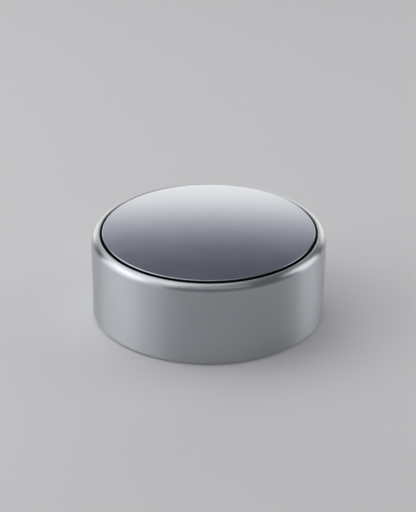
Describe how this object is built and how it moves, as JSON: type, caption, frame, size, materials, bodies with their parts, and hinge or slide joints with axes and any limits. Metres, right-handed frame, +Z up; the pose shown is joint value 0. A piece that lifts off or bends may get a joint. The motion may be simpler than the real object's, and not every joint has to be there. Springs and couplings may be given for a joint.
{
  "type": "smart button",
  "caption": "Round wireless smart button: satin metal casing with a full-width press key on top and a coin-cell door in its underside.",
  "frame": {"origin": "centre of the underside, on the plane the foot ring stands on", "axes": "+Z up along the button's axis, out through the key; +X to the right and +Y away from the picture's viewer"},
  "size_m": [0.045, 0.045, 0.0172],
  "materials": {
    "casing_metal": "satin",
    "key_metal": "satin",
    "base_plastic": "matte",
    "foot_rubber": "matte",
    "chassis_plastic": "matte",
    "screw_steel": "satin",
    "board": "satin",
    "chip_black": "matte",
    "crystal_metal": "satin",
    "antenna_ceramic": "satin",
    "capacitor_ceramic": "satin",
    "resistor_ceramic": "satin",
    "led_resin": "gloss",
    "switch_plastic": "matte",
    "switch_metal": "satin",
    "terminal_tin": "satin",
    "dome_metal": "satin",
    "contact_bronze": "satin",
    "cell_steel": "satin",
    "cell_gasket_plastic": "matte",
    "cell_filling": "matte",
    "spring_steel": "satin",
    "adhesive": "matte",
    "carrier_plastic": "matte",
    "stem_plastic": "satin",
    "cover_plastic": "matte",
    "seal_rubber": "matte"
  },
  "bodies": {
    "case": {"casing": "casing_metal", "base": "base_plastic", "foot_ring": "foot_rubber", "base_screws": "screw_steel", "chassis": "chassis_plastic", "pcb": "board", "pcb_screws": "screw_steel", "radio_chip": "chip_black", "crystal": "crystal_metal", "chip_antenna": "antenna_ceramic", "capacitors": "capacitor_ceramic", "resistors": "resistor_ceramic", "status_led": "led_resin", "switch_base": "switch_plastic", "switch_cover": "switch_metal", "switch_terminals": "terminal_tin", "switch_dome": "dome_metal", "contact_plus": "contact_bronze", "contact_minus": "contact_bronze", "cell_can": "cell_steel", "cell_gasket": "cell_gasket_plastic", "cell_cap": "cell_steel", "cell_pellet": "cell_filling", "return_springs": "spring_steel"},
    "key": {"key_cap": "key_metal", "key_adhesive": "adhesive", "key_carrier": "carrier_plastic"},
    "switch_stem": {"switch_stem": "stem_plastic"},
    "battery_door": {"battery_cover": "cover_plastic", "cover_seal": "seal_rubber"}
  },
  "joints": [
    {"name": "key_press", "type": "slide", "parent": "case", "child": "key", "axis": [0, 0, -1], "range_m": [0, 0.0005], "stiffness_N_per_m": 1200, "springref_m": -0.0008, "deforming": ["return_springs"]},
    {"name": "stem_press", "type": "slide", "parent": "case", "child": "switch_stem", "axis": [0, 0, -1], "range_m": [0, 0.0005], "deforming": ["switch_dome"]},
    {"name": "cover_twist", "type": "hinge", "parent": "case", "child": "battery_door", "pos_m": [0, 0, 0.0015], "axis": [0, 0, -1], "range_deg": [0, 35]}
  ],
  "couplings": [
    {"joint": "stem_press", "follows": "key_press", "ratio": 1}
  ]
}
